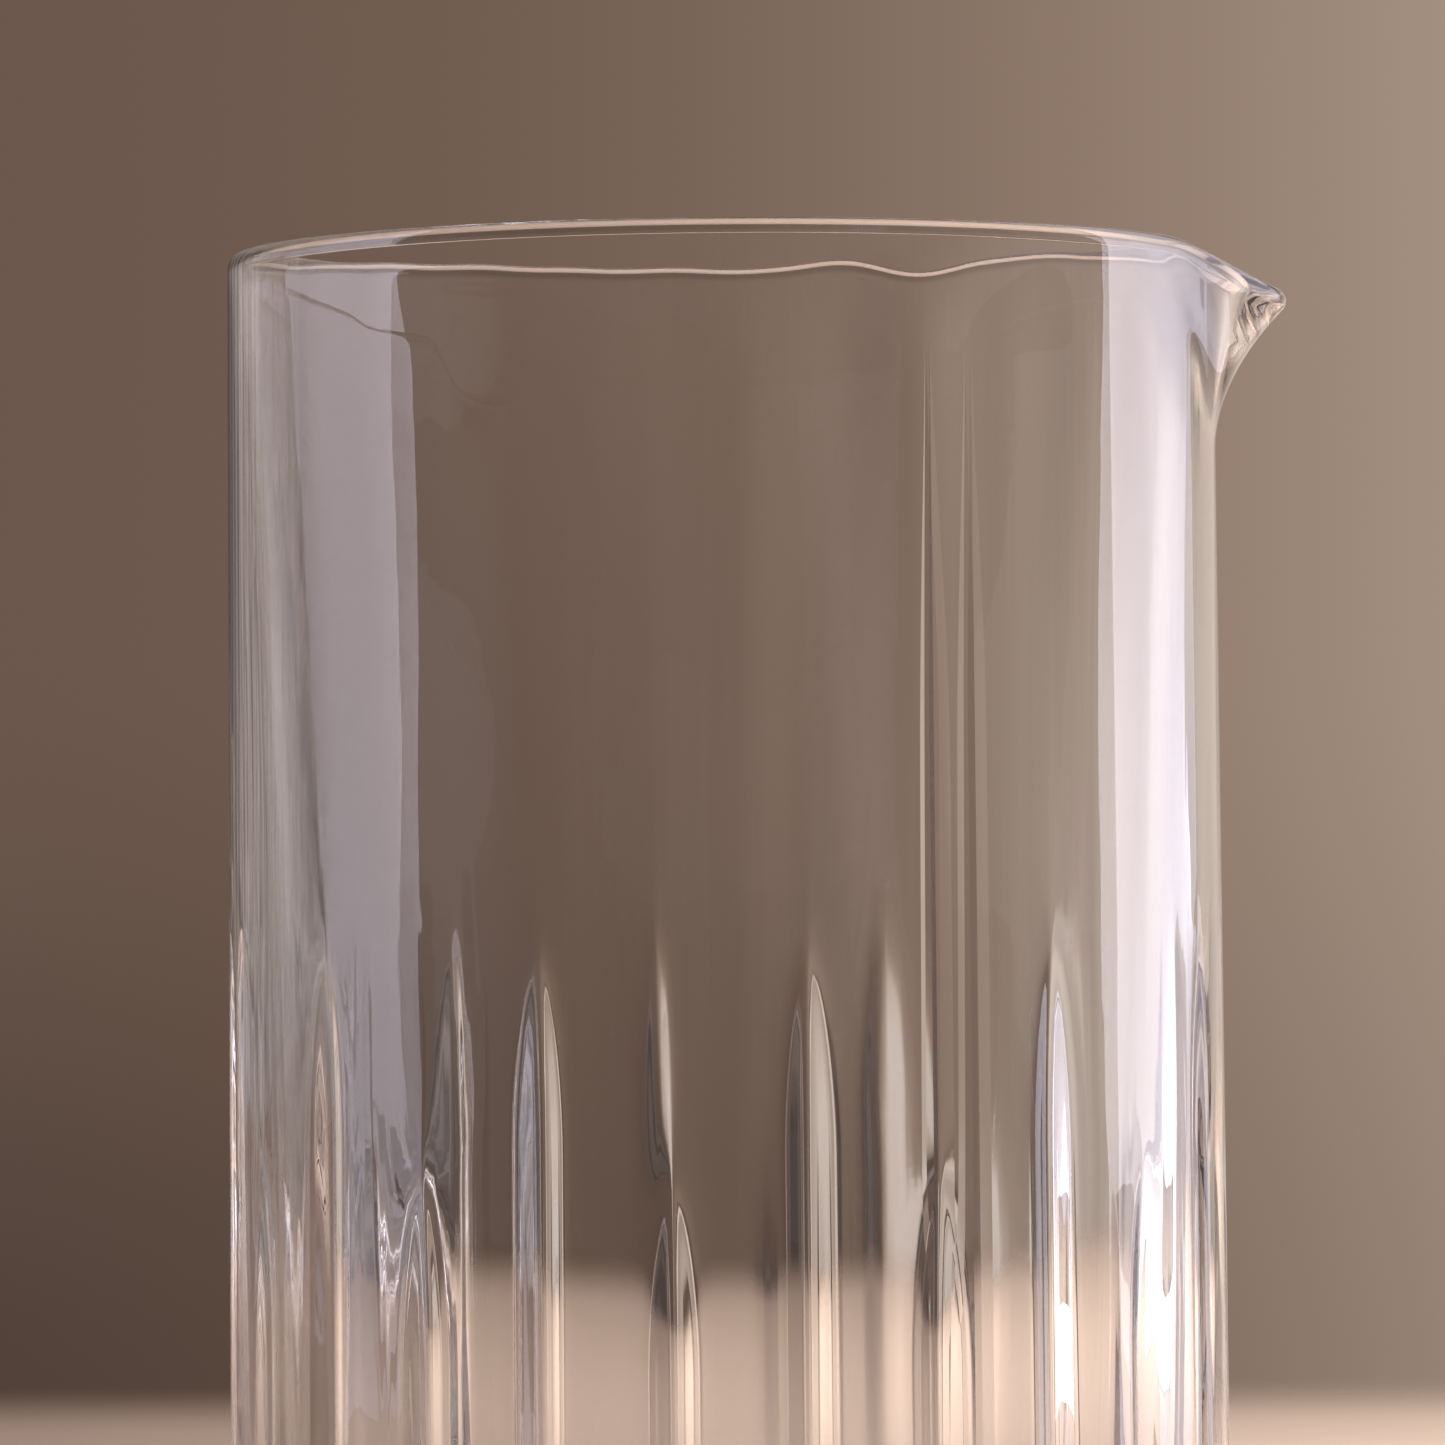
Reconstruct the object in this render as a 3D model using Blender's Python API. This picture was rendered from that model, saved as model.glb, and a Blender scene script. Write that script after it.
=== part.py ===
"""Mixing glass: a straight-sided bar glass with a pouring spout and upright mitre cuts round its lower wall.

The whole object is one continuous piece of clear glass. It is pressed with a heavy foot, its rim is
melted round, the spout is pulled out of the hot rim, and the cuts are ground in cold.
Metres, +Z up. The origin is the centre of the flat ground foot, and the spout points along +X.
"""

import math

import bmesh
import bpy
from mathutils import Vector

# Overall size
HEIGHT = 0.150
RIM_RADIUS = 0.0485
FOOT_RADIUS = 0.0492

# Foot: a rounded heel outside, and a solid floor with a hollow corner inside
HEEL_RADIUS = 0.0030
FLOOR_THICKNESS = 0.0180
FLOOR_CORNER_RADIUS = 0.0100

# Wall: thin at the rim, and thicker downwards by an even taper and by two gains. The rim's round is an
# ellipse, taller than half the wall.
RIM_WALL = 0.00115
RIM_RISE = 0.0018
WALL_TAPER = 0.012
WALL_GAIN = 0.0019
THICKENING_DISTANCE = 0.033
THICKENING_POWER = 1.5
LOWER_WALL_GAIN = 0.0008
LOWER_WALL_START = 0.060

# Spout: how far it reaches past the wall, how far its lip drops, and how much wall it takes up
SPOUT_REACH = 0.0069
SPOUT_DROP = 0.0041
SPOUT_DEPTH = 0.0200
SPOUT_HALF_WIDTH = math.radians(30.0)
SPOUT_FOOT_HALF_WIDTH = math.radians(12.0)
SPOUT_PINCH = 1.6
SPOUT_LIP_THICKENING = 1.1
SPOUT_LIP_RISE = -0.32
SPOUT_DROP_POWER = 1.7

# Mitre cuts: long and short ones by turns, each ground with a V-edged wheel
CUT_PAIRS = 12
CUT_WIDTH = 0.0042
CUT_DEPTH = 0.0009
CUT_TIP_LENGTH = 0.0180
LONG_CUT_BELOW_RIM = 0.0695
SHORT_CUT_BELOW_RIM = 0.0905
FIRST_LONG_CUT_ANGLE = math.radians(8.9)
CUTTER_CLEARANCE = 0.0020

# Facets
COLUMNS = 112
HEEL_STEPS = 4
SPOUT_STEPS = 8
RIM_STEPS = 8
WALL_STEPS = 6
CORNER_STEPS = 5
TIP_STEPS = 5

GLASS_COLOUR = (0.93, 0.95, 0.94, 1.0)
GLASS_ROUGHNESS = 0.02
GLASS_IOR = 1.5


def clear_scene():
    for obj in list(bpy.data.objects):
        bpy.data.objects.remove(obj, do_unlink=True)


def glass_material():
    """Clear colourless glass."""
    material = bpy.data.materials.new("clear_glass")
    material.use_nodes = True
    shader = material.node_tree.nodes["Principled BSDF"]
    shader.inputs["Base Color"].default_value = GLASS_COLOUR
    shader.inputs["Roughness"].default_value = GLASS_ROUGHNESS
    shader.inputs["Metallic"].default_value = 0.0
    shader.inputs["IOR"].default_value = GLASS_IOR
    shader.inputs["Transmission Weight"].default_value = 1.0
    return material


def outer_radius(height):
    """The outside wall is a straight draft from the foot to the rim."""
    return FOOT_RADIUS + (RIM_RADIUS - FOOT_RADIUS) * height / HEIGHT


def wall(height):
    """The wall's thickness: the rim's, an even taper, a gain that levels off, and a gain towards the floor."""
    below_rim = max(HEIGHT - height, 0.0)
    upper = 1.0 - math.exp(-((below_rim / THICKENING_DISTANCE) ** THICKENING_POWER))
    lower = (max(below_rim - LOWER_WALL_START, 0.0) / LOWER_WALL_START) ** 2
    return RIM_WALL + WALL_TAPER * below_rim + WALL_GAIN * upper + LOWER_WALL_GAIN * lower


def rim_foot():
    """The height at which the melted rim's round begins."""
    return HEIGHT - RIM_RISE


def arc(centre, across, up, start, end, steps):
    """Points on an ellipse from angle start to angle end, both included, in the plane of radius and height."""
    points = []
    for step in range(steps + 1):
        angle = start + (end - start) * step / steps
        points.append((centre[0] + across * math.cos(angle), centre[1] + up * math.sin(angle)))
    return points


def levels(start, end, steps):
    """Heights from start to end, evenly spaced, both included."""
    return [start + (end - start) * step / steps for step in range(steps + 1)]


def turned_profile():
    """The section of the glass before its spout is pulled: up the outside, over the rim and down the inside."""
    spout_foot = HEIGHT - SPOUT_DEPTH
    corner_top = FLOOR_THICKNESS + FLOOR_CORNER_RADIUS
    heel_centre = (outer_radius(HEEL_RADIUS) - HEEL_RADIUS, HEEL_RADIUS)
    inner_corner = outer_radius(corner_top) - wall(corner_top)
    corner_centre = (inner_corner - FLOOR_CORNER_RADIUS, corner_top)
    half_wall = wall(rim_foot()) / 2
    rim_middle = (outer_radius(rim_foot()) - half_wall, rim_foot())

    profile = arc(heel_centre, HEEL_RADIUS, HEEL_RADIUS, -math.pi / 2, 0.0, HEEL_STEPS)
    upper = levels(spout_foot, rim_foot(), SPOUT_STEPS)
    profile += [(outer_radius(height), height) for height in upper[:-1]]
    profile += arc(rim_middle, half_wall, RIM_RISE, 0.0, math.pi, RIM_STEPS)
    profile += [(outer_radius(height) - wall(height), height) for height in reversed(upper[:-1])]
    lower = levels(spout_foot, corner_top, WALL_STEPS)
    profile += [(outer_radius(height) - wall(height), height) for height in lower[1:-1]]
    profile += arc(corner_centre, FLOOR_CORNER_RADIUS, FLOOR_CORNER_RADIUS, 0.0, -math.pi / 2, CORNER_STEPS)
    return profile


def turn(profile):
    """Spins the section about +Z, and closes the foot and the inner floor with one flat face each."""
    mesh = bmesh.new()
    points = [mesh.verts.new((radius, 0.0, height)) for radius, height in profile]
    edges = [mesh.edges.new(pair) for pair in zip(points, points[1:])]
    bmesh.ops.spin(
        mesh,
        geom=points + edges,
        cent=(0.0, 0.0, 0.0),
        axis=(0.0, 0.0, 1.0),
        angle=math.tau,
        steps=COLUMNS,
        use_duplicate=False,
    )
    bmesh.ops.remove_doubles(mesh, verts=mesh.verts, dist=1e-6)
    bmesh.ops.holes_fill(mesh, edges=mesh.edges, sides=0)
    bmesh.ops.recalc_face_normals(mesh, faces=mesh.faces)
    return mesh


def spout_way(height):
    """How far up the spout a height lies: 0 at the spout's foot and 1 at the foot of the rim's round."""
    spout_foot = HEIGHT - SPOUT_DEPTH
    return (height - spout_foot) / (rim_foot() - spout_foot)


def spout_share(angle, way):
    """How much of the spout's full pull acts at this angle round the wall, and this far up the spout.

    It is a raised cosine to a power, 1 on +X, and it is narrower at the spout's foot than at the rim.
    """
    half_width = SPOUT_FOOT_HALF_WIDTH + (SPOUT_HALF_WIDTH - SPOUT_FOOT_HALF_WIDTH) * way
    across = min(abs(angle) / half_width, 1.0)
    return ((1.0 + math.cos(math.pi * across)) / 2) ** SPOUT_PINCH


def pulled_wall(height, way, share):
    """The outside of the wall once the spout is pulled: its radius and height, and its tangent up the wall.

    The wall leans out as the square of the way up to the rim, and its rim drops in proportion to that way.
    """
    rise = 1.0 / (rim_foot() - (HEIGHT - SPOUT_DEPTH))
    drop = SPOUT_DROP * (1.0 - (1.0 - share) ** SPOUT_DROP_POWER)
    radius = outer_radius(height) + SPOUT_REACH * share * way**2
    new_height = height - drop * way
    lean = (RIM_RADIUS - FOOT_RADIUS) / HEIGHT + 2.0 * SPOUT_REACH * share * way * rise
    climb = 1.0 - drop * rise
    return radius, new_height, Vector((lean, climb)).normalized()


def pull_spout(mesh):
    """Bends the wall outwards about +X: each point keeps its distance from the outside of the wall.

    The lip is thicker towards the tip of the spout.
    """
    for vert in mesh.verts:
        if vert.co.z <= HEIGHT - SPOUT_DEPTH:
            continue
        height = min(vert.co.z, rim_foot())
        way = spout_way(height)
        share = spout_share(math.atan2(vert.co.y, vert.co.x), way)
        if share == 0.0:
            continue
        gain = SPOUT_LIP_THICKENING * share**3 * way**4
        flat_radius = math.hypot(vert.co.x, vert.co.y)
        inwards = (outer_radius(height) - flat_radius) * (1.0 + gain)
        upwards = (vert.co.z - height) * (1.0 + gain * SPOUT_LIP_RISE)
        radius, new_height, tangent = pulled_wall(height, way, share)
        new_radius = radius - tangent.y * inwards + tangent.x * upwards
        vert.co.z = new_height + tangent.x * inwards + tangent.y * upwards
        vert.co.x *= new_radius / flat_radius
        vert.co.y *= new_radius / flat_radius


def cut_section(height, depth, angle):
    """One section of the cutter: its V's edge at this depth in the wall, and its two open corners outside."""
    opening = CUT_WIDTH / 2 / CUT_DEPTH
    surface = outer_radius(height)
    out = surface + CUTTER_CLEARANCE
    half = (depth + CUTTER_CLEARANCE) * opening
    corners = [(surface - depth, 0.0), (out, half), (out, -half)]
    turned = []
    for radial, sideways in corners:
        x = radial * math.cos(angle) - sideways * math.sin(angle)
        y = radial * math.sin(angle) + sideways * math.cos(angle)
        turned.append(Vector((x, y, height)))
    return turned


def cutter(name, top, angle):
    """The space that one pass of the wheel takes: full depth from under the foot, rising out to a point at top.

    Over the tip's length the depth follows a parabola that is level where it meets the full depth, so the
    cut's outline is a pointed arch. It goes on past the point by the same parabola, clear of the wall.
    """
    sections = [(-CUTTER_CLEARANCE, CUT_DEPTH)]
    for step in range(TIP_STEPS + 2):
        way = 1.0 - step / TIP_STEPS
        depth = CUT_DEPTH * way * (2.0 - way)
        sections.append((top - CUT_TIP_LENGTH * way, depth))

    mesh = bmesh.new()
    rings = []
    for height, depth in sections:
        rings.append([mesh.verts.new(point) for point in cut_section(height, depth, angle)])
    for lower, upper in zip(rings, rings[1:]):
        for side in range(3):
            other = (side + 1) % 3
            mesh.faces.new((lower[side], lower[other], upper[other], upper[side]))
    mesh.faces.new(rings[0])
    mesh.faces.new(rings[-1])
    bmesh.ops.recalc_face_normals(mesh, faces=mesh.faces)
    data = bpy.data.meshes.new(name)
    mesh.to_mesh(data)
    mesh.free()
    obj = bpy.data.objects.new(name, data)
    obj.hide_render = True
    obj.display_type = "WIRE"
    return obj


def cutters():
    """All the passes of the wheel, in a collection of their own: long and short ones by turns."""
    group = bpy.data.collections.new("cutters")
    bpy.context.scene.collection.children.link(group)
    pitch = math.tau / CUT_PAIRS
    for pair in range(CUT_PAIRS):
        angle = FIRST_LONG_CUT_ANGLE + pair * pitch
        group.objects.link(cutter(f"long_cut_{pair + 1:02d}", HEIGHT - LONG_CUT_BELOW_RIM, angle))
        half_way = angle + pitch / 2
        group.objects.link(cutter(f"short_cut_{pair + 1:02d}", HEIGHT - SHORT_CUT_BELOW_RIM, half_way))
    return group


def mixing_glass():
    """The finished glass: turned, its spout pulled, then cut."""
    mesh = turn(turned_profile())
    pull_spout(mesh)
    data = bpy.data.meshes.new("mixing_glass")
    mesh.to_mesh(data)
    mesh.free()
    data.materials.append(glass_material())
    data.shade_smooth()
    data.set_sharp_from_angle(angle=math.radians(25.0))
    obj = bpy.data.objects.new("mixing_glass", data)
    bpy.context.scene.collection.objects.link(obj)

    grind = obj.modifiers.new("mitre_cuts", "BOOLEAN")
    grind.operation = "DIFFERENCE"
    grind.solver = "EXACT"
    grind.operand_type = "COLLECTION"
    grind.collection = cutters()
    return obj


clear_scene()
mixing_glass()
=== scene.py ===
"""The looks of a cut mixing glass: one piece of clear glass on a pale table, in soft studio light.

Metres, +Z up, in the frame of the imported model: the origin is the centre of the foot's flat underside, and
the spout points along +X. The file follows the glass as it is made, and then the room that it stands in.
"""

import math

import bpy
import numpy as np
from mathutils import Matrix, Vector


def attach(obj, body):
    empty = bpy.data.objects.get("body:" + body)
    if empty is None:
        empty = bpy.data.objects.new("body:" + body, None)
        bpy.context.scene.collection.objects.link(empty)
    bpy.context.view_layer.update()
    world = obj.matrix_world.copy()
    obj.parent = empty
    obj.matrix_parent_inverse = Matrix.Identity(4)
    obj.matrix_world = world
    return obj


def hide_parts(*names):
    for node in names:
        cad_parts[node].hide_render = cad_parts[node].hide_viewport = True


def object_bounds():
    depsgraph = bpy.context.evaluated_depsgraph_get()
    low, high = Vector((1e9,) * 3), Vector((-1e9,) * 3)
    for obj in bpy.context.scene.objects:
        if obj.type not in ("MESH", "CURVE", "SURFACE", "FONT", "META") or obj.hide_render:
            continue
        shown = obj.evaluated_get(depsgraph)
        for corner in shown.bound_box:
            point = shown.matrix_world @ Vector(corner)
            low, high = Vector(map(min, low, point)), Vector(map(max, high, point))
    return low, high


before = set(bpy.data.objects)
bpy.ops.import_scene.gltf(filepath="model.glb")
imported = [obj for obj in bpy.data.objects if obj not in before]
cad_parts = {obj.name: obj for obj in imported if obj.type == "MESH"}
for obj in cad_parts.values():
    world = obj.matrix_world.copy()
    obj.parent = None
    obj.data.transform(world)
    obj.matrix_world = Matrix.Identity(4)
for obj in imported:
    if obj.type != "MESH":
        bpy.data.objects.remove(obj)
cad_low, cad_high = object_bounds()
scene = bpy.context.scene


# ---- The camera -------------------------------------------------------------------------------------------
# A long lens, a little above the middle of the glass and tipped up by about a degree, so that the rim is
# seen from below and the foot falls outside the frame.

EYE_DISTANCE = 0.868
EYE_HEIGHT = 0.0855
EYE_ASIDE = -0.0003
LENS = 219.8
SENSOR = 36.0
TIP_UP = math.radians(1.217)
ROLL = math.radians(0.5)

camera_data = bpy.data.cameras.new("studio_camera")
camera_data.lens = LENS
camera_data.sensor_width = SENSOR
camera_data.clip_start = 0.05
camera_data.clip_end = 50.0
camera = bpy.data.objects.new("studio_camera", camera_data)
camera.location = (EYE_ASIDE, -EYE_DISTANCE, EYE_HEIGHT)
camera.rotation_euler = (math.radians(90.0) + TIP_UP, ROLL, 0.0)
scene.collection.objects.link(camera)
scene.camera = camera


# ---- The glass --------------------------------------------------------------------------------------------
# Soda-lime glass, pressed with a thick floor and a wall that thins towards the rim. The rim is melted to a
# round that is taller than half the wall, the spout is drawn out of it while hot, and the cuts are ground and
# polished in cold.

HEIGHT = cad_high.z - cad_low.z
FOOT_RADIUS = (cad_high.y - cad_low.y) / 2
RIM_RADIUS = FOOT_RADIUS - 0.0007
HEEL_RADIUS = 0.0030
FLOOR_THICKNESS = 0.0180
FLOOR_CORNER_RADIUS = 0.0100

RIM_WALL = 0.00115
RIM_RISE = 0.0018
WALL_TAPER = 0.012
WALL_GAIN = 0.0019
THICKENING_DISTANCE = 0.033
THICKENING_POWER = 1.5
LOWER_WALL_GAIN = 0.0008
LOWER_WALL_START = 0.060

SPOUT_REACH = 0.0069
SPOUT_DROP = 0.0041
SPOUT_DEPTH = 0.0200
SPOUT_HALF_WIDTH = math.radians(30.0)
SPOUT_FOOT_HALF_WIDTH = math.radians(12.0)
SPOUT_PINCH = 1.6
SPOUT_LIP_THICKENING = 1.1
SPOUT_LIP_RISE = -0.32
SPOUT_DROP_POWER = 1.7

# Unevenness of the inside: each wave's angle round the glass, its half width, and its slope at the rim.
WAVE_DEPTH = 0.012
WAVES = (
    (math.radians(-48.0), math.radians(13.0), 0.036),
    (math.radians(-76.5), math.radians(5.5), 0.034),
    (math.radians(-67.0), math.radians(6.0), -0.034),
    (math.radians(-124.0), math.radians(16.0), 0.016),
    (math.radians(28.0), math.radians(9.0), 0.018),
    (math.radians(75.0), math.radians(18.0), -0.012),
    (math.radians(140.0), math.radians(12.0), 0.020),
    (math.radians(-165.0), math.radians(8.0), -0.014),
)

# Ripple: each sine's count round the glass, and its drift with height.
RIPPLE = 0.000012
RIPPLES = ((9.0, 1.0), (17.0, -1.7), (31.0, 0.6))
RIPPLE_DRIFT_HEIGHT = 0.030
FADE_BELOW_RIM = 0.010
FADE_ABOVE_FLOOR = 0.015
WAVE_FADE_POWER = 0.25

CUT_PAIRS = 12
CUT_WIDTH = 0.0042
CUT_DEPTH = 0.0009
CUT_TIP_LENGTH = 0.0180
CUT_EDGE_ROUNDING = 0.00035
CUT_BOTTOM_ROUNDING = 0.0009
CUT_EDGE_SLANT = math.hypot(CUT_WIDTH / 2, CUT_BOTTOM_ROUNDING) - CUT_BOTTOM_ROUNDING
LONG_CUT_TOP = HEIGHT - 0.0695
SHORT_CUT_TOP = HEIGHT - 0.0905
FIRST_LONG_CUT_ANGLE = math.radians(8.9)

COLUMNS_PER_CUT = 20
COLUMN_CROWDING = 0.8
SPREAD_ABOVE_TIP = 0.012
LEAST_REACH = 0.04 * CUT_DEPTH

UNDERSIDE_ROWS = 5
HEEL_ROWS = 8
CUT_ROWS = 84
PLAIN_ROWS = 14
SPOUT_ROWS = 21
RIM_ROWS = 17
INSIDE_ROWS = 30
CORNER_ROWS = 12
FLOOR_ROWS = 6


def outer_radius(height):
    """The outside wall is straight and drafted: its radius falls evenly from the foot to the rim."""
    return FOOT_RADIUS + (RIM_RADIUS - FOOT_RADIUS) * height / HEIGHT


def wall(height):
    """Thickness at a height: the rim's, an even taper, a gain that levels off, and a gain towards the floor.

    With d measured down from the rim, the first gain goes as 1 - exp(-(d / distance) ^ power), and the
    second as the square of d past the start of the lower wall.
    """
    below = np.maximum(HEIGHT - height, 0.0)
    upper = 1.0 - np.exp(-((below / THICKENING_DISTANCE) ** THICKENING_POWER))
    lower = (np.maximum(below - LOWER_WALL_START, 0.0) / LOWER_WALL_START) ** 2
    return RIM_WALL + WALL_TAPER * below + WALL_GAIN * upper + LOWER_WALL_GAIN * lower


def uneven(angle, height):
    """How far the inside stands in or out from its turned surface, as melting and pressing leave it.

    Each wave is a bell round the glass times d exp(-d / depth), with d measured down from the foot of the
    rim's round. The ripple is three sines round the glass that drift slowly with height. Both fade out at the
    rim and at the floor.
    """
    below = np.maximum(HEIGHT - RIM_RISE - height, 0.0)
    total = np.zeros_like(angle)
    for middle, half_width, slope in WAVES:
        aside = (angle - middle + math.pi) % math.tau - math.pi
        total += slope * np.exp(-((aside / half_width) ** 2)) * below * np.exp(-below / WAVE_DEPTH)
    drift = height / RIPPLE_DRIFT_HEIGHT
    ripple = sum(np.sin(count * angle + share * drift) for count, share in RIPPLES)
    fade = np.clip(below / FADE_BELOW_RIM, 0.0, 1.0)
    fade = fade * np.clip((height - FLOOR_THICKNESS) / FADE_ABOVE_FLOOR, 0.0, 1.0)
    return total * fade**WAVE_FADE_POWER + RIPPLE * ripple * fade


def section():
    """The turned section as rows from the middle of the foot to the middle of the inner floor.

    Returns each row's radius and height, and whether it is on the outside or on the inside wall. Straight
    runs are evenly spaced, the heel and the inner corner are quarter circles, and the rim is half an ellipse.
    """
    rim_centre = HEIGHT - RIM_RISE
    corner_top = FLOOR_THICKNESS + FLOOR_CORNER_RADIUS
    spout_foot = HEIGHT - SPOUT_DEPTH
    heel_centre = outer_radius(HEEL_RADIUS) - HEEL_RADIUS

    underside = np.linspace(0.0, heel_centre, UNDERSIDE_ROWS)[1:-1]
    turn = np.linspace(-math.pi / 2, 0.0, HEEL_ROWS)
    heel = (heel_centre + HEEL_RADIUS * np.cos(turn), HEEL_RADIUS + HEEL_RADIUS * np.sin(turn))
    cut_rows = np.linspace(HEEL_RADIUS, LONG_CUT_TOP + SPREAD_ABOVE_TIP, CUT_ROWS)[1:]
    plain_rows = np.linspace(LONG_CUT_TOP + SPREAD_ABOVE_TIP, spout_foot, PLAIN_ROWS)[1:]
    spout_rows = np.linspace(spout_foot, rim_centre, SPOUT_ROWS)[1:-1]
    outside = np.concatenate([cut_rows, plain_rows, spout_rows])

    turn = np.linspace(0.0, math.pi, RIM_ROWS)
    half = wall(rim_centre) / 2
    rim = (outer_radius(rim_centre) - half + half * np.cos(turn), rim_centre + RIM_RISE * np.sin(turn))
    inside = np.concatenate([spout_rows[::-1], np.linspace(spout_foot, corner_top, INSIDE_ROWS)[:-1]])

    corner_centre = outer_radius(corner_top) - wall(corner_top) - FLOOR_CORNER_RADIUS
    turn = np.linspace(0.0, -math.pi / 2, CORNER_ROWS)
    corner = (
        corner_centre + FLOOR_CORNER_RADIUS * np.cos(turn),
        corner_top + FLOOR_CORNER_RADIUS * np.sin(turn),
    )
    floor = np.linspace(corner_centre, 0.0, FLOOR_ROWS)[1:-1]

    radius = np.concatenate(
        [
            underside,
            heel[0],
            outer_radius(outside),
            rim[0],
            outer_radius(inside) - wall(inside),
            corner[0],
            floor,
        ]
    )
    height = np.concatenate(
        [underside * 0.0, heel[1], outside, rim[1], inside, corner[1], floor * 0.0 + FLOOR_THICKNESS]
    )
    row = np.arange(len(radius))
    is_outside = row < len(underside) + len(heel[0]) + len(outside)
    floor_start = len(radius) - len(floor)
    is_inside = (row >= floor_start - len(corner[0]) - len(inside)) & (row < floor_start)
    return radius, height, is_outside, is_inside


def cut_reach(height, top):
    """The wheel's depth in the wall at a height: full, then a parabola up through zero at the cut's top.

    Above the top it goes on below zero, where the wheel is clear of the wall.
    """
    way = np.minimum((top - height) / CUT_TIP_LENGTH, 1.0)
    return CUT_DEPTH * way * (2.0 - way)


def flank(aside):
    """How far the cut's flank has risen at a distance aside from its middle.

    It is a hyperbola, sqrt(x^2 + rounding^2) less the rounding, scaled so that at half the cut's width it
    has risen by the cut's depth.
    """
    return CUT_DEPTH / CUT_EDGE_SLANT * (np.hypot(aside, CUT_BOTTOM_ROUNDING) - CUT_BOTTOM_ROUNDING)


def half_opening(reach):
    """Half the cut's width at the surface where the wheel reaches this deep.

    It is the flank's formula solved for x: the root of slant^2 - rounding^2, with slant the reach in the
    hyperbola's own scale plus the rounding.
    """
    slant = reach * CUT_EDGE_SLANT / CUT_DEPTH + CUT_BOTTOM_ROUNDING
    return np.sqrt(slant**2 - CUT_BOTTOM_ROUNDING**2)


def column_angles(height, is_outside):
    """Angle of each column in each row, and its angle from the middle of its own cut.

    Half of a sector's columns lie in its cut and half on the plain glass beside it, so that the cut's edges
    always lie between the same two columns. The columns crowd towards the edges and the middle of the cut
    as x - k sin(2 pi x) / 2 pi, and away from the cuts they spread out evenly.
    """
    sectors = 2 * CUT_PAIRS
    half_pitch = math.pi / sectors
    along = (np.arange(COLUMNS_PER_CUT) + 0.5) / COLUMNS_PER_CUT * 2.0 - 1.0
    angles = []
    for sector in range(sectors):
        top = LONG_CUT_TOP if sector % 2 == 0 else SHORT_CUT_TOP
        share = half_opening(np.maximum(cut_reach(height, top), LEAST_REACH)) / outer_radius(height)
        share = share / half_pitch
        spread = np.clip((height - top) / SPREAD_ABOVE_TIP, 0.0, 1.0)
        spread = np.where(is_outside, spread * spread * (3.0 - 2.0 * spread), 1.0)
        share = (share + (0.5 - share) * spread)[:, None]
        crowding = COLUMN_CROWDING * (1.0 - spread)[:, None]
        way = 2.0 * along - crowding * np.sin(2.0 * math.pi * 2.0 * along) / (2.0 * math.pi)
        inner = way * share
        beyond = 2.0 * np.abs(along) - 1.0
        beyond = beyond - crowding * np.sin(math.pi * beyond) / math.pi
        outer = np.sign(along) * (share + beyond * (1.0 - share))
        from_cut = half_pitch * np.where(np.abs(along) < 0.5, inner, outer)
        angles.append((FIRST_LONG_CUT_ANGLE + sector * 2.0 * half_pitch + from_cut, from_cut))
    angle = np.concatenate([pair[0] for pair in angles], axis=1)
    from_cut = np.concatenate([pair[1] for pair in angles], axis=1)
    return angle, from_cut


def grind(radius, height, from_cut):
    """Takes the cuts out of the outside: the radius drops to the cut's flank wherever that lies deeper.

    It is a smooth minimum of the two surfaces, half of x + sqrt(x^2 + rounding^2), with x the flank's depth
    in the wall, and this rounds the cut's edges a little.
    """
    sector = np.arange(from_cut.shape[1]) // COLUMNS_PER_CUT
    top = np.where(sector % 2 == 0, LONG_CUT_TOP, SHORT_CUT_TOP)[None, :]
    aside = from_cut * outer_radius(height)
    excess = radius - outer_radius(height) + cut_reach(height, top) - flank(aside)
    return radius - (excess + np.sqrt(excess**2 + CUT_EDGE_ROUNDING**2)) / 2


def pull_spout(radius, height, angle):
    """Bends the wall out about +X. Away from the lip a point keeps its distance from the outside wall.

    The outside leans out as the square of the way up to the rim, times a raised cosine of the angle to a
    power, which is narrower at the spout's foot than at the rim. The rim sinks in proportion to the way up.
    Towards the tip the lip gets thicker, and its round lower.
    """
    rim_centre = HEIGHT - RIM_RISE
    length = rim_centre - (HEIGHT - SPOUT_DEPTH)
    turned = (angle + math.pi) % math.tau - math.pi
    level = np.minimum(height, rim_centre)
    way = np.maximum((level - (HEIGHT - SPOUT_DEPTH)) / length, 0.0)
    half_width = SPOUT_FOOT_HALF_WIDTH + (SPOUT_HALF_WIDTH - SPOUT_FOOT_HALF_WIDTH) * way
    across = np.clip(turned / half_width, -1.0, 1.0)
    share = ((1.0 + np.cos(math.pi * across)) / 2) ** SPOUT_PINCH
    drop = SPOUT_DROP * (1.0 - (1.0 - share) ** SPOUT_DROP_POWER)
    lean = (RIM_RADIUS - FOOT_RADIUS) / HEIGHT + 2.0 * SPOUT_REACH * share * way / length
    climb = 1.0 - drop / length * (way > 0.0)
    size = np.sqrt(lean**2 + climb**2)
    lean, climb = lean / size, climb / size
    thicker = 1.0 + SPOUT_LIP_THICKENING * share**3 * way**4
    inwards = (outer_radius(level) - radius) * thicker
    upwards = (height - level) * (1.0 + (thicker - 1.0) * SPOUT_LIP_RISE)
    pulled_radius = outer_radius(level) + SPOUT_REACH * share * way**2 - climb * inwards + lean * upwards
    pulled_height = level - drop * way + lean * inwards + climb * upwards
    moved = (share > 0.0) & (way > 0.0)
    return np.where(moved, pulled_radius, radius), np.where(moved, pulled_height, height)


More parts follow.
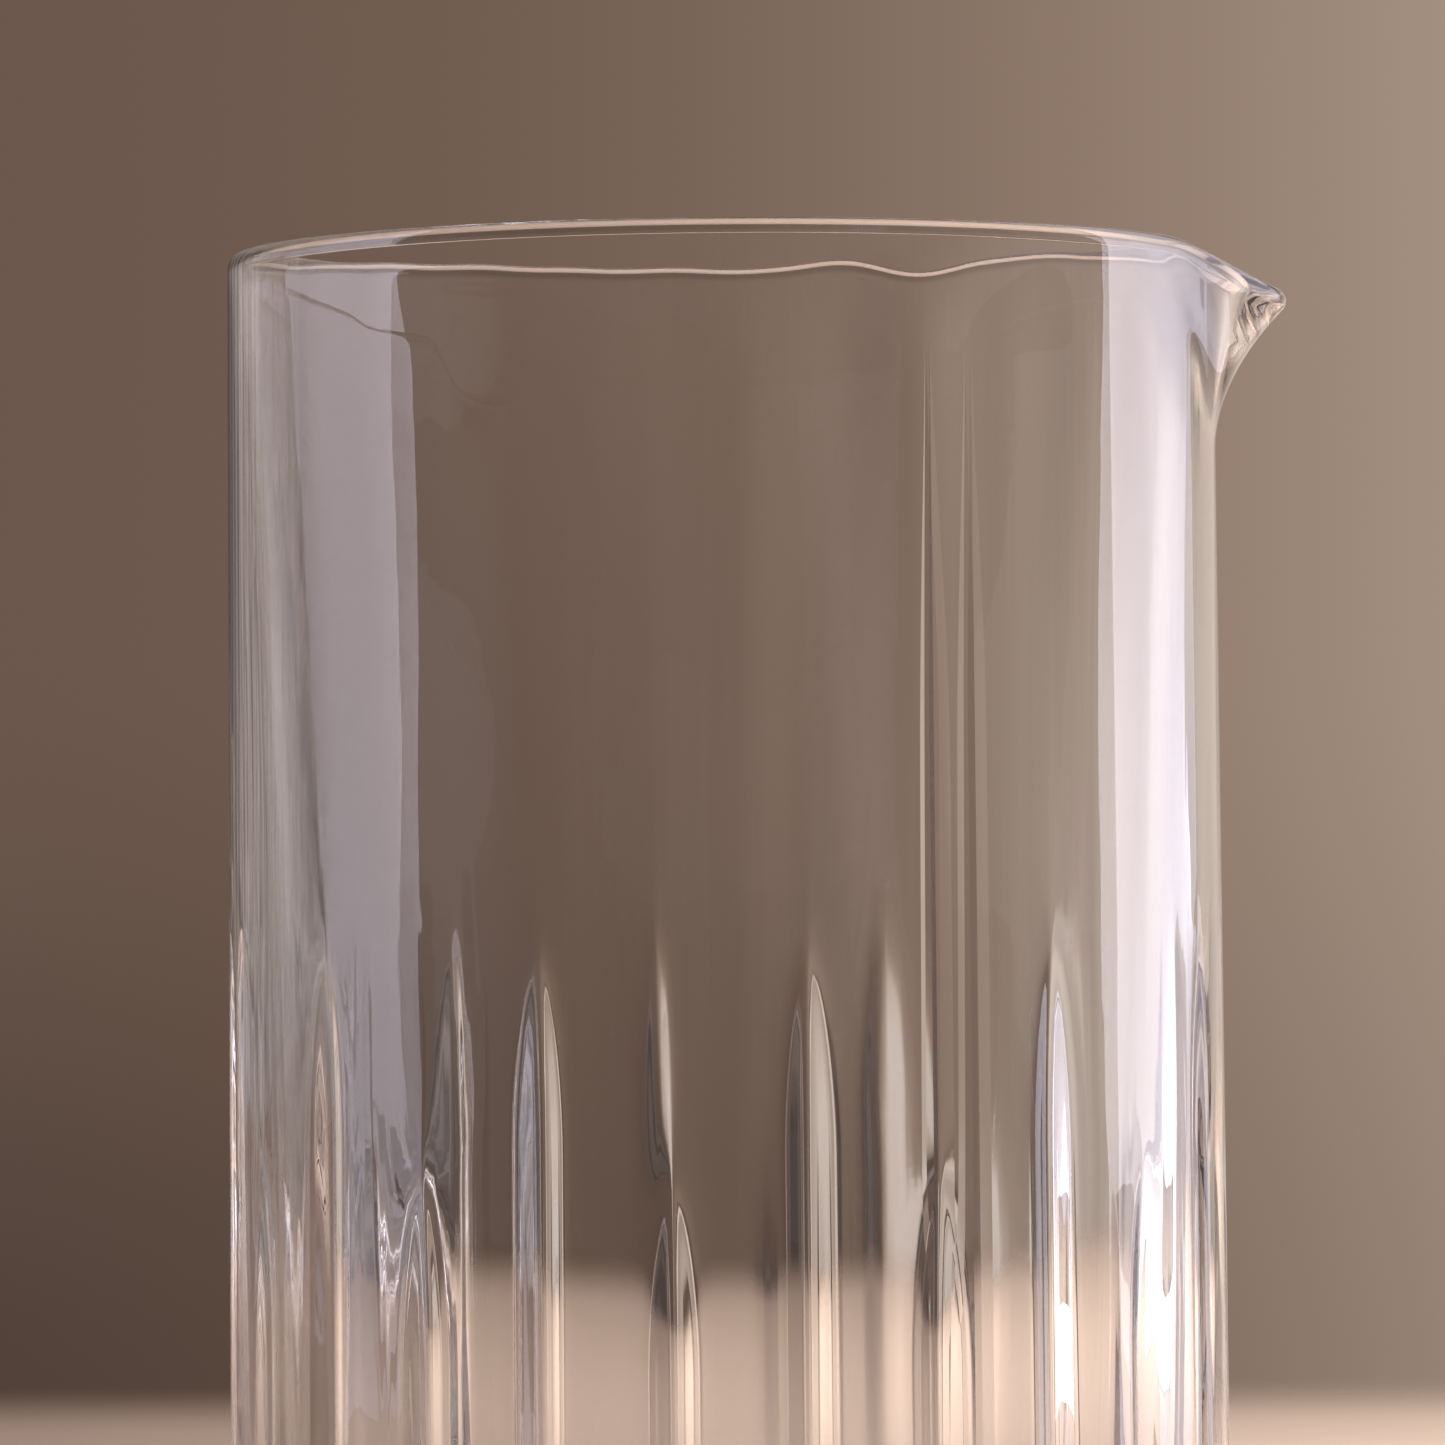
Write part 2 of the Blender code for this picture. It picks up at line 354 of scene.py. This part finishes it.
def closed_grid(name, x, y, z, low_pole, high_pole):
    """A mesh from rows of points that run round the piece, closed at each end by a fan to one point."""
    rows, columns = x.shape
    points = np.stack([x, y, z], axis=-1).reshape(-1, 3)
    points = np.vstack([points, low_pole, high_pole]).astype(np.float32)
    index = np.arange(rows * columns).reshape(rows, columns)
    beside = np.roll(index, -1, axis=1)
    quads = np.stack([index[:-1], beside[:-1], beside[1:], index[1:]], axis=-1).reshape(-1, 4)
    low, high = rows * columns, rows * columns + 1
    first = np.stack([beside[0], index[0], np.full(columns, low)], axis=-1)
    last = np.stack([index[-1], beside[-1], np.full(columns, high)], axis=-1)
    corners = np.concatenate([quads.ravel(), first.ravel(), last.ravel()]).astype(np.int32)
    sizes = np.concatenate([np.full(len(quads), 4), np.full(2 * columns, 3)]).astype(np.int32)
    starts = np.concatenate([[0], np.cumsum(sizes)[:-1]]).astype(np.int32)
    mesh = bpy.data.meshes.new(name)
    mesh.vertices.add(len(points))
    mesh.vertices.foreach_set("co", points.ravel())
    mesh.loops.add(len(corners))
    mesh.loops.foreach_set("vertex_index", corners)
    mesh.polygons.add(len(sizes))
    mesh.polygons.foreach_set("loop_start", starts)
    mesh.polygons.foreach_set("loop_total", sizes)
    mesh.update()
    mesh.validate()
    mesh.shade_smooth()
    return mesh


radius, height, is_outside, is_inside = section()
angle, from_cut = column_angles(height, is_outside)
radius = np.repeat(radius[:, None], angle.shape[1], axis=1)
height = np.repeat(height[:, None], angle.shape[1], axis=1)
radius = np.where(is_outside[:, None], grind(radius, height, from_cut), radius)
radius = np.where(is_inside[:, None], radius - uneven(angle, height), radius)
radius, height = pull_spout(radius, height, angle)
glass_mesh = closed_grid(
    "mixing_glass_clear",
    radius * np.cos(angle),
    radius * np.sin(angle),
    height,
    (0.0, 0.0, 0.0),
    (0.0, 0.0, FLOOR_THICKNESS),
)
glass = bpy.data.objects.new("mixing_glass_clear", glass_mesh)
scene.collection.objects.link(glass)


# The finish is clear and colourless. Pressing leaves faint upright streaks all round, and two deeper draw
# lines. The streaks fade out on the spout, and light passes straight through to where the shadow falls.

STREAK_HEIGHT = 0.000009
STREAKS_PER_METRE = 420.0
STREAKS_FADE_FROM = 0.0460
STREAKS_FADE_TO = 0.0485
STREAK_STRETCH = 0.02

# Draw lines: each one's angle round the glass, its depth, and the slopes of its left and right flank.
DRAW_LINE_TOP = HEIGHT - 0.006
DRAW_LINE_FULL = HEIGHT - 0.050
DRAW_LINES = (
    (math.radians(-66.3), 0.000075, 0.16, 0.045),
    (math.radians(-61.2), 0.000045, 0.06, 0.035),
)

GLASS_INDEX = 1.52
SHADOW_TINT = (0.95, 0.95, 0.95, 1.0)

clear = bpy.data.materials.new("clear_glass")
clear.use_nodes = True
nodes, links = clear.node_tree.nodes, clear.node_tree.links
shader = nodes["Principled BSDF"]
shader.inputs["Base Color"].default_value = (1.0, 1.0, 1.0, 1.0)
shader.inputs["Roughness"].default_value = 0.0
shader.inputs["IOR"].default_value = GLASS_INDEX
shader.inputs["Transmission Weight"].default_value = 1.0
place = nodes.new("ShaderNodeTexCoord")
split = nodes.new("ShaderNodeSeparateXYZ")
links.new(place.outputs["Object"], split.inputs[0])


def combine(operation, first, second):
    """One Math node in the material at hand, on two sockets or numbers; returns its output."""
    node = nodes.new("ShaderNodeMath")
    node.operation = operation
    for socket, value in zip(node.inputs, (first, second)):
        if isinstance(value, (int, float)):
            socket.default_value = value
        else:
            links.new(value, socket)
    return node.outputs[0]


def ramp_of(value, start, end, low, high, kind):
    """One Map Range node in the material at hand: value from start to end becomes low to high."""
    node = nodes.new("ShaderNodeMapRange")
    node.interpolation_type = kind
    links.new(value, node.inputs["Value"])
    for name, number in zip(("From Min", "From Max", "To Min", "To Max"), (start, end, low, high)):
        node.inputs[name].default_value = number
    return node.outputs["Result"]


round_the_glass = combine("ARCTAN2", split.outputs["Y"], split.outputs["X"])
relief = None
for line_angle, depth, left_slope, right_slope in DRAW_LINES:
    aside = combine("SUBTRACT", round_the_glass, line_angle)
    aside = combine("MULTIPLY", aside, FOOT_RADIUS)
    left_side = combine("MULTIPLY", aside, -left_slope)
    right_side = combine("MULTIPLY", aside, right_slope)
    bottom = ramp_of(split.outputs["Z"], DRAW_LINE_FULL, DRAW_LINE_TOP, depth, 0.0, "SMOOTHSTEP")
    valley = combine("SUBTRACT", bottom, combine("MAXIMUM", left_side, right_side))
    valley = combine("MAXIMUM", valley, 0.0)
    relief = valley if relief is None else combine("ADD", relief, valley)

stretch = nodes.new("ShaderNodeMapping")
stretch.inputs["Scale"].default_value = (1.0, 1.0, STREAK_STRETCH)
links.new(place.outputs["Object"], stretch.inputs["Vector"])
streaks = nodes.new("ShaderNodeTexNoise")
streaks.inputs["Scale"].default_value = STREAKS_PER_METRE
streaks.inputs["Detail"].default_value = 2.0
links.new(stretch.outputs[0], streaks.inputs["Vector"])
full_height = ramp_of(
    split.outputs["X"], STREAKS_FADE_FROM, STREAKS_FADE_TO, STREAK_HEIGHT, 0.0, "SMOOTHSTEP"
)
streak_height = combine("MULTIPLY", streaks.outputs["Fac"], full_height)
relief = combine("SUBTRACT", streak_height, relief)
bump = nodes.new("ShaderNodeBump")
bump.inputs["Distance"].default_value = 1.0
links.new(relief, bump.inputs["Height"])
links.new(bump.outputs[0], shader.inputs["Normal"])

through = nodes.new("ShaderNodeBsdfTransparent")
through.inputs["Color"].default_value = SHADOW_TINT
ray = nodes.new("ShaderNodeLightPath")
pass_light = nodes.new("ShaderNodeMixShader")
links.new(ray.outputs["Is Shadow Ray"], pass_light.inputs["Fac"])
links.new(shader.outputs[0], pass_light.inputs[1])
links.new(through.outputs[0], pass_light.inputs[2])
links.new(pass_light.outputs[0], nodes["Material Output"].inputs["Surface"])
glass_mesh.materials.append(clear)

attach(glass, "root")
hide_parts("mixing_glass")


# ---- The table --------------------------------------------------------------------------------------------
# A plain pale top that ends a little way behind the glass. Its far edge fades out, as if softly out of
# focus. It lies a hair under the foot, so that the two faces don't coincide.

TABLE_FADE_START = 0.59
TABLE_FADE_END = 0.745
TABLE_NEAR_EDGE = -1.6
TABLE_HALF_WIDTH = 1.6
TABLE_COLOUR = (0.495, 0.395, 0.32, 1.0)
FOOT_GAP = 0.0003


def flat_grid(name, corner, across, up, steps):
    """A flat sheet from a corner along two directions, in a grid of steps each way."""
    u, v = np.meshgrid(np.linspace(0.0, 1.0, steps + 1), np.linspace(0.0, 1.0, steps + 1))
    points = np.array(corner) + u[..., None] * np.array(across) + v[..., None] * np.array(up)
    index = np.arange((steps + 1) ** 2).reshape(steps + 1, steps + 1)
    faces = np.stack([index[:-1, :-1], index[:-1, 1:], index[1:, 1:], index[1:, :-1]], axis=-1)
    mesh = bpy.data.meshes.new(name)
    mesh.from_pydata(points.reshape(-1, 3).tolist(), [], faces.reshape(-1, 4).tolist())
    mesh.update()
    return mesh


table_mesh = flat_grid(
    "table_top",
    (-TABLE_HALF_WIDTH, TABLE_NEAR_EDGE, -FOOT_GAP),
    (2 * TABLE_HALF_WIDTH, 0.0, 0.0),
    (0.0, TABLE_FADE_END - TABLE_NEAR_EDGE, 0.0),
    8,
)
table = bpy.data.objects.new("table_top", table_mesh)
scene.collection.objects.link(table)
table_paint = bpy.data.materials.new("table_paint")
table_paint.use_nodes = True
nodes, links = table_paint.node_tree.nodes, table_paint.node_tree.links
table_shader = nodes["Principled BSDF"]
table_shader.inputs["Base Color"].default_value = TABLE_COLOUR
table_shader.inputs["Roughness"].default_value = 0.6
table_shader.inputs["Specular IOR Level"].default_value = 0.2
place = nodes.new("ShaderNodeTexCoord")
split = nodes.new("ShaderNodeSeparateXYZ")
links.new(place.outputs["Object"], split.inputs[0])
gone = ramp_of(split.outputs["Y"], TABLE_FADE_START, TABLE_FADE_END, 0.0, 1.0, "SMOOTHSTEP")
nothing = nodes.new("ShaderNodeBsdfTransparent")
fade = nodes.new("ShaderNodeMixShader")
links.new(gone, fade.inputs["Fac"])
links.new(table_shader.outputs[0], fade.inputs[1])
links.new(nothing.outputs[0], fade.inputs[2])
links.new(fade.outputs[0], nodes["Material Output"].inputs["Surface"])
table_mesh.materials.append(table_paint)


# ---- The wall behind --------------------------------------------------------------------------------------
# A plain brown-grey wall that glows, with painted light and shade: darker on the left than on the right,
# and darker low down. Far out on the left it has painted shade and light in soft upright folds, like a
# curtain's.

WALL_DISTANCE = 1.8
WALL_HALF_WIDTH = 4.0
WALL_BOTTOM = -1.5
WALL_TALL = 5.0

# Tones with painted light from left to right over the middle of the wall: the share of the way across, and
# the colour, which is the wall's brown-grey tone times the light painted onto it.
PAINTED_LIGHT_HALF_WIDTH = 1.2
LEFT_TONE_AND_PAINTED_LIGHT = (0.60, 0.50, 0.47, 1.0)
RIGHT_TONE_AND_PAINTED_LIGHT = (0.40, 0.33, 0.28, 1.0)
TONES_AND_PAINTED_LIGHT_BETWEEN = (
    (0.25, (0.260, 0.210, 0.195, 1.0)),
    (0.36, (0.150, 0.105, 0.085, 1.0)),
    (0.42, (0.145, 0.092, 0.069, 1.0)),
    (0.49, (0.172, 0.116, 0.085, 1.0)),
    (0.55, (0.278, 0.196, 0.149, 1.0)),
    (0.61, (0.400, 0.302, 0.234, 1.0)),
    (0.66, (0.640, 0.520, 0.450, 1.0)),
    (0.72, (0.880, 0.740, 0.650, 1.0)),
)

# The shade low down takes this share of the light, from the left side to the right.
SHADE_TOP = 0.17
SHADE_BOTTOM = -0.07
SHADE_HALF_WIDTH = 0.25
SHADE_LEFT = 0.46
SHADE_RIGHT = 0.16

# The curtain's painted shade and light: the noise's low and high values become its darkest and lightest fold.
CURTAIN_INNER_EDGE = -0.27
CURTAIN_OUTER_EDGE = -0.42
FOLDS_PER_METRE = 13.0
FOLD_LOW = 0.42
FOLD_HIGH = 0.58
FOLD_PAINTED_SHADE = 0.55
FOLD_PAINTED_LIGHT = -0.15

wall_mesh = flat_grid(
    "back_wall",
    (-WALL_HALF_WIDTH, WALL_DISTANCE, WALL_BOTTOM),
    (2 * WALL_HALF_WIDTH, 0.0, 0.0),
    (0.0, 0.0, WALL_TALL),
    8,
)
back_wall = bpy.data.objects.new("back_wall", wall_mesh)
scene.collection.objects.link(back_wall)
wall_painted_light = bpy.data.materials.new("wall_painted_light")
wall_painted_light.use_nodes = True
nodes, links = wall_painted_light.node_tree.nodes, wall_painted_light.node_tree.links
nodes.clear()
place = nodes.new("ShaderNodeTexCoord")
split = nodes.new("ShaderNodeSeparateXYZ")
links.new(place.outputs["Object"], split.inputs[0])
# Painted light: the ramp gives the wall's brown-grey tone, brightened and darkened across the wall as if lit.
tones_and_painted_light = nodes.new("ShaderNodeValToRGB")
way_across = ramp_of(split.outputs["X"], -PAINTED_LIGHT_HALF_WIDTH, PAINTED_LIGHT_HALF_WIDTH, 0.0, 1.0, "LINEAR")
links.new(way_across, tones_and_painted_light.inputs["Fac"])
tones_and_painted_light.color_ramp.interpolation = "B_SPLINE"
tones_and_painted_light.color_ramp.elements[0].position = 0.0
tones_and_painted_light.color_ramp.elements[0].color = LEFT_TONE_AND_PAINTED_LIGHT
tones_and_painted_light.color_ramp.elements[1].position = 1.0
tones_and_painted_light.color_ramp.elements[1].color = RIGHT_TONE_AND_PAINTED_LIGHT
for position, colour in TONES_AND_PAINTED_LIGHT_BETWEEN:
    tones_and_painted_light.color_ramp.elements.new(position).color = colour
# Painted shade low down on the wall, deeper on the left than on the right.
depth_of_shade = ramp_of(
    split.outputs["X"], -SHADE_HALF_WIDTH, SHADE_HALF_WIDTH, SHADE_LEFT, SHADE_RIGHT, "LINEAR"
)
# Painted shade and light of curtain folds, on a wall that is flat.
fold_place = nodes.new("ShaderNodeCombineXYZ")
links.new(split.outputs["X"], fold_place.inputs["X"])
folds = nodes.new("ShaderNodeTexNoise")
folds.inputs["Scale"].default_value = FOLDS_PER_METRE
folds.inputs["Detail"].default_value = 3.0
links.new(fold_place.outputs[0], folds.inputs["Vector"])
fold_shade = ramp_of(folds.outputs["Fac"], FOLD_LOW, FOLD_HIGH, FOLD_PAINTED_SHADE, FOLD_PAINTED_LIGHT, "LINEAR")
curtain = ramp_of(split.outputs["X"], CURTAIN_INNER_EDGE, CURTAIN_OUTER_EDGE, 0.0, 1.0, "SMOOTHSTEP")
fold_shade = combine("MULTIPLY", fold_shade, curtain)
# Painted shade: the glow darkens towards the wall's foot.
low_down = ramp_of(split.outputs["Z"], SHADE_BOTTOM, SHADE_TOP, 1.0, 0.0, "SMOOTHSTEP")
light_left = combine("SUBTRACT", 1.0, combine("MULTIPLY", depth_of_shade, low_down))
light_left = combine("MULTIPLY", light_left, combine("SUBTRACT", 1.0, fold_shade))
# The wall's glow carries all of its painted light and shade; it is no lamp.
glow = nodes.new("ShaderNodeEmission")
out = nodes.new("ShaderNodeOutputMaterial")
links.new(tones_and_painted_light.outputs["Color"], glow.inputs["Color"])
links.new(light_left, glow.inputs["Strength"])
links.new(glow.outputs[0], out.inputs["Surface"])
wall_mesh.materials.append(wall_painted_light)


# ---- The light --------------------------------------------------------------------------------------------
# One large soft panel, like a window, stands close on the right and runs back over the table. It is brighter
# at its near end, and a dark card stands before its foot. A warm lamp hangs over the table and shows in no
# reflection. The room is dim, and lighter on the right.

# With x the share of the way from its near end, the panel's strength is a sum: the far end's radiance, the
# near gain times exp(-(x / gain share)^3), and the hot end times exp(-x / hot share).
PANEL_NEAR_END = (0.292, 0.020)
PANEL_FAR_END = (0.54, 0.59)
PANEL_BOTTOM = 0.0
PANEL_TALL = 0.75
PANEL_FAR_RADIANCE = 1.2
PANEL_NEAR_GAIN = 1.15
PANEL_GAIN_SHARE = 0.55
PANEL_HOT_END = 1.1
PANEL_HOT_SHARE = 0.06
PANEL_COLOUR = (1.05, 0.98, 1.12, 1.0)

panel_run = (PANEL_FAR_END[0] - PANEL_NEAR_END[0], PANEL_FAR_END[1] - PANEL_NEAR_END[1], 0.0)
panel_mesh = flat_grid("right_panel", (*PANEL_NEAR_END, PANEL_BOTTOM), panel_run, (0.0, 0.0, PANEL_TALL), 1)
panel_uv = panel_mesh.uv_layers.new(name="sheet")
panel_uv.data.foreach_set("uv", np.array([[0, 0], [1, 0], [1, 1], [0, 1]], dtype=np.float32).ravel())
right_panel = bpy.data.objects.new("right_panel", panel_mesh)
scene.collection.objects.link(right_panel)
right_panel.visible_camera = False
panel_glow = bpy.data.materials.new("panel_glow")
panel_glow.use_nodes = True
nodes, links = panel_glow.node_tree.nodes, panel_glow.node_tree.links
nodes.clear()
sheet = nodes.new("ShaderNodeUVMap")
sheet.uv_map = "sheet"
split = nodes.new("ShaderNodeSeparateXYZ")
links.new(sheet.outputs[0], split.inputs[0])
hot_end = combine("EXPONENT", combine("DIVIDE", split.outputs["X"], -PANEL_HOT_SHARE), 0.0)
cube = combine("POWER", combine("DIVIDE", split.outputs["X"], PANEL_GAIN_SHARE), 3.0)
near_gain = combine("EXPONENT", combine("MULTIPLY", cube, -1.0), 0.0)
hot_end = combine("MULTIPLY", hot_end, PANEL_HOT_END)
near_gain = combine("MULTIPLY", near_gain, PANEL_NEAR_GAIN)
strength = combine("ADD", hot_end, near_gain)
strength = combine("ADD", strength, PANEL_FAR_RADIANCE)
glow = nodes.new("ShaderNodeEmission")
glow.inputs["Color"].default_value = PANEL_COLOUR
out = nodes.new("ShaderNodeOutputMaterial")
links.new(strength, glow.inputs["Strength"])
links.new(glow.outputs[0], out.inputs["Surface"])
panel_mesh.materials.append(panel_glow)

CARD_START = 0.030
CARD_END = 0.115
CARD_BOTTOM = 0.0165
CARD_TALL = 0.0160
CARD_GAP = 0.010
CARD_COLOUR = (0.02, 0.015, 0.02, 1.0)
run_length = math.hypot(panel_run[0], panel_run[1])
run_x, run_y = panel_run[0] / run_length, panel_run[1] / run_length
card_corner = (
    PANEL_NEAR_END[0] + run_x * CARD_START - run_y * CARD_GAP,
    PANEL_NEAR_END[1] + run_y * CARD_START + run_x * CARD_GAP,
    CARD_BOTTOM,
)
card_run = (run_x * (CARD_END - CARD_START), run_y * (CARD_END - CARD_START), 0.0)
card_mesh = flat_grid("dark_card", card_corner, card_run, (0.0, 0.0, CARD_TALL), 1)
dark_card = bpy.data.objects.new("dark_card", card_mesh)
scene.collection.objects.link(dark_card)
dark_card.visible_camera = False
dark_card.visible_glossy = False
card_paint = bpy.data.materials.new("card_paint")
card_paint.use_nodes = True
card_paint.node_tree.nodes["Principled BSDF"].inputs["Base Color"].default_value = CARD_COLOUR
card_mesh.materials.append(card_paint)

LAMP_PLACE = (0.28, 0.38, 0.30)
LAMP_SIZE = 0.30
LAMP_POWER = 2.8
LAMP_COLOUR = (1.0, 0.95, 0.91)
lamp_data = bpy.data.lights.new("table_lamp", "AREA")
lamp_data.shape = "SQUARE"
lamp_data.size = LAMP_SIZE
lamp_data.energy = LAMP_POWER
lamp_data.color = LAMP_COLOUR
lamp = bpy.data.objects.new("table_lamp", lamp_data)
lamp.location = LAMP_PLACE
scene.collection.objects.link(lamp)
lamp.visible_glossy = False
lamp.visible_transmission = False

ROOM_LIGHT_SIDE = (0.985, -0.174, 0.0)
ROOM_LIGHT_START = 0.88
ROOM_DIM = (0.17, 0.115, 0.10, 1.0)
ROOM_LIGHT = (0.46, 0.42, 0.41, 1.0)
room = bpy.data.worlds.new("room")
scene.world = room
room.use_nodes = True
nodes, links = room.node_tree.nodes, room.node_tree.links
place = nodes.new("ShaderNodeTexCoord")
facing = nodes.new("ShaderNodeVectorMath")
facing.operation = "DOT_PRODUCT"
facing.inputs[1].default_value = ROOM_LIGHT_SIDE
links.new(place.outputs["Generated"], facing.inputs[0])
side = ramp_of(facing.outputs["Value"], ROOM_LIGHT_START, 1.0, 0.0, 1.0, "SMOOTHSTEP")
room_tone = nodes.new("ShaderNodeMix")
room_tone.data_type = "RGBA"
links.new(side, room_tone.inputs["Factor"])
room_tone.inputs[6].default_value = ROOM_DIM
room_tone.inputs[7].default_value = ROOM_LIGHT
links.new(room_tone.outputs[2], nodes["Background"].inputs["Color"])
nodes["Background"].inputs["Strength"].default_value = 1.0

LIGHT_BOUNCES = 24
scene.view_settings.view_transform = "Standard"
scene.cycles.max_bounces = LIGHT_BOUNCES
scene.cycles.transmission_bounces = LIGHT_BOUNCES
scene.cycles.glossy_bounces = LIGHT_BOUNCES
scene.cycles.transparent_max_bounces = LIGHT_BOUNCES
scene.cycles.caustics_reflective = False
scene.cycles.caustics_refractive = False
